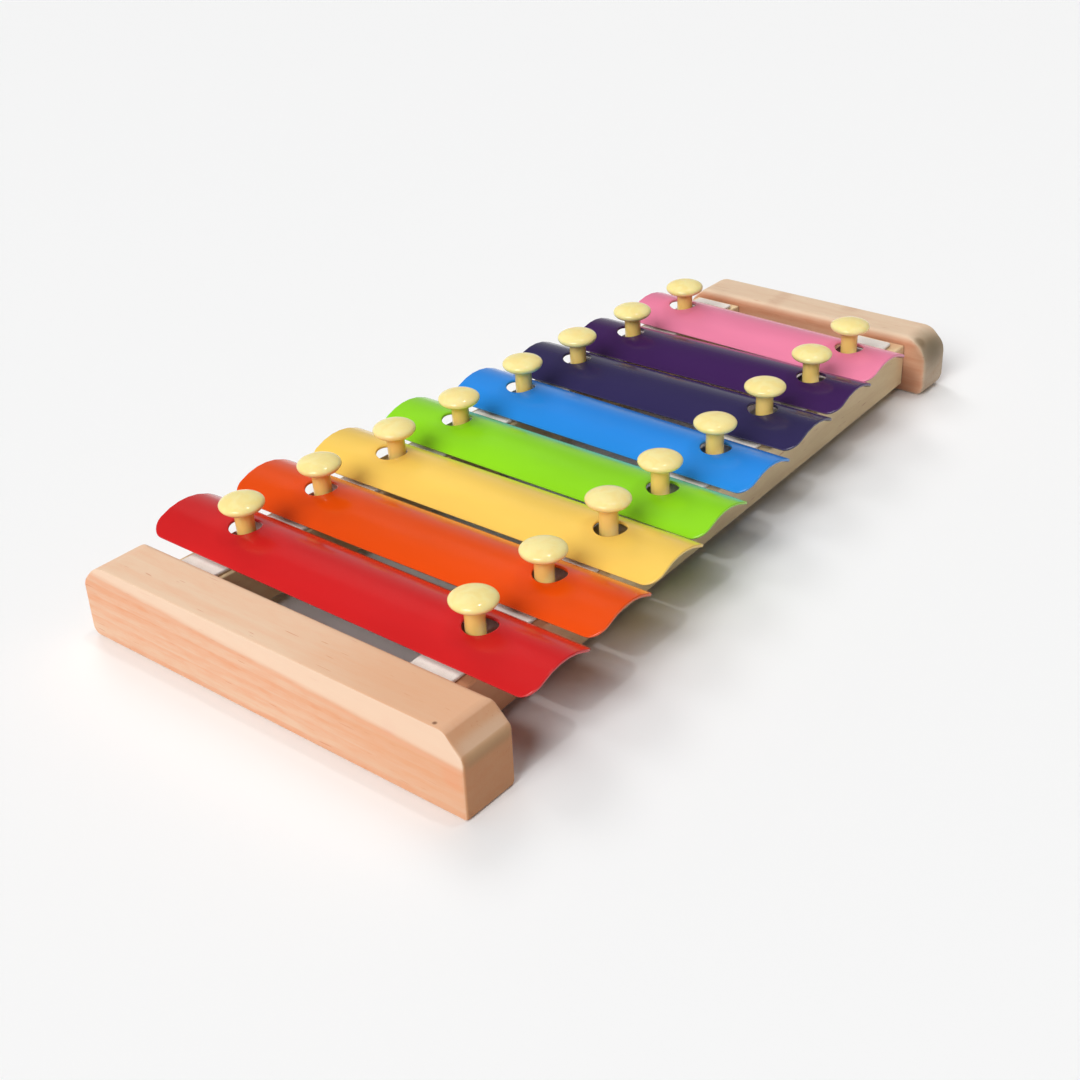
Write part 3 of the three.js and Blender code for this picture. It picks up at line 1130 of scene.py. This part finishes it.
def low_block_wood():
    """The front end is warmer, with a paler band low on its slope that is a painted highlight along the
    slope's lower edge, an olive line below its slope, a nick in the top and two reddish spots on the outer
    face."""
    warm_end = ((-0.1105, -0.056, 0.032), 60 * MM, 0.62, (222, 164, 124))
    nick = ((-0.1198, -0.0512, 0.0201), 0.7 * MM, 0.85, (120, 80, 56))
    spots = [
        ((-0.1214, -0.0562, 0.0098), 4 * MM, 0.35, (232, 152, 110)),
        ((-0.1214, -0.0396, 0.0152), 3 * MM, 0.4, (222, 142, 112)),
    ]
    # Painted highlight: a paler band low on the front slope, where its lower edge catches the light.
    slope_highlight_ends = (-0.1195, -0.0588, 0.0162), (-0.107, -0.0588, 0.0162)
    band = line_of_marks(*slope_highlight_ends, 9, 3.6 * MM, 0.3, (240, 216, 192))
    line_ends = (-0.1195, -0.0597, 0.014), (-0.107, -0.0597, 0.0136)
    line = line_of_marks(*line_ends, 9, 2.4 * MM, 0.2, (176, 166, 130))
    return wood(
        "low_block_wood",
        grain=Y_AXIS,
        heart=(-113.7, -50),
        pale=(238, 205, 175),
        dark=(236, 172, 132),
        end=(0.76, 0.62, 0.48),
        shift=(3, 0, 11),
        marks=[warm_end, nick, *spots, *band, *line],
        flank_shade=(0.93, 0.87, 0.85),
        planed=True,
    )


def high_block_wood():
    """The front slope is greyish, as painted shade, with a dark spot, and painted shade on the inner side
    below it where the rail meets the block; two lines run across the top."""
    # Painted shade: the front slope is darkened to a greyish brown.
    slope = ((0.1147, -0.0455, 0.0165), 12.5 * MM, 0.92, (138, 122, 96))
    spot = ((0.1107, -0.0388, 0.0164), 2.6 * MM, 0.55, (112, 90, 58))
    # Painted shade low on the inner side, where the rail meets the block.
    mark_tint = ((0.1078, -0.036, 0.004), 7 * MM, 0.5, (140, 86, 62))
    line_colour = (196, 150, 122)
    long_ends = (0.1095, 0.012, 0.0178), (0.1205, 0.013, 0.0178)
    long_line = line_of_marks(*long_ends, 4, 3.6 * MM, 0.22, line_colour)
    short_ends = (0.1192, -0.0103, 0.0178), (0.1227, -0.0112, 0.0178)
    short_line = line_of_marks(*short_ends, 2, 4 * MM, 0.22, line_colour)
    return wood(
        "high_block_wood",
        grain=Y_AXIS,
        heart=(118, -60),
        pale=(228, 202, 174),
        dark=(214, 170, 136),
        end=(0.76, 0.78, 0.78),
        shift=(31, 0, 47),
        marks=[slope, *long_line, *short_line, spot, mark_tint],
        flank_shade=(0.84, 0.62, 0.55),
        flank_from=0.45,
    )


def rail_wood():
    """The front rail's low end is redder, as painted shade from the low block, and both rails' high ends
    are darker.
    """
    # Painted shade: the front rail's low end, in the low block's shade, is painted redder.
    low_end_shade = ((-0.1, -0.04, 0.01), 60 * MM, 0.75, (194, 108, 70))
    high_ends = [((0.108, y, 0.014), 9 * MM, 0.6, (206, 146, 108)) for y in (-0.03, 0.031)]
    return wood(
        "rail_wood",
        grain=X_AXIS,
        heart=(-70, -40),
        pale=(246, 222, 178),
        dark=(220, 184, 138),
        end=(0.62, 0.5, 0.42),
        shift=(7, 19, 5),
        marks=[low_end_shade, *high_ends],
    )


def dowel_wood():
    return wood(
        "dowel_wood",
        grain=X_AXIS,
        heart=(-20, -40),
        pale=(236, 204, 168),
        dark=(206, 158, 116),
        end=(0.62, 0.5, 0.42),
        shift=(17, 3, 9),
    )


# ---- the object ----------------------------------------------------------------------------------

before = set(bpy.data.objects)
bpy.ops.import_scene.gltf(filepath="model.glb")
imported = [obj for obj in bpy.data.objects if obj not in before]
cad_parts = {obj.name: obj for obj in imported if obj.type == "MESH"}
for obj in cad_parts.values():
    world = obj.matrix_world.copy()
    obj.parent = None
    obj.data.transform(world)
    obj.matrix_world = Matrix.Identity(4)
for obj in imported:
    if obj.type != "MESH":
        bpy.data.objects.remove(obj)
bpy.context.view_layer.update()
add_camera()

block_looks = {"low": low_block_wood(), "high": high_block_wood()}
for end in ENDS:
    finish_piece(build_block(end), FRAME_BODY, block_looks[end], [f"{end}_end_block"])

rail_look = rail_wood()
foam_look = foam("soft_foam")
for row in ROWS:
    line = Row(row)
    finish_piece(build_rail(row, line), FRAME_BODY, rail_look, [f"{row}_rail"])
    strip = finish_piece(build_foam(row, line), FRAME_BODY, foam_look, [f"{row}_foam_strip"])

dowel_look = dowel_wood()
for end in ENDS:
    for row in ROWS:
        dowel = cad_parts[f"{end}_{row}_dowel"]
        dowel.data.materials.clear()
        dowel.data.materials.append(dowel_look)

cream = plastic("cream_plastic")
for row in ROWS:
    for number in PIN_NUMBERS:
        node = f"{row}_pin_{number}"
        finish_piece(build_pin(node), FRAME_BODY, cream, [node])

for note, colour in NOTES.items():
    bar = Bar(note)
    look = enamel(f"{note}_enamel", colour)
    finish_piece(bar.build(), bar.name, look, [bar.name])

add_stage()
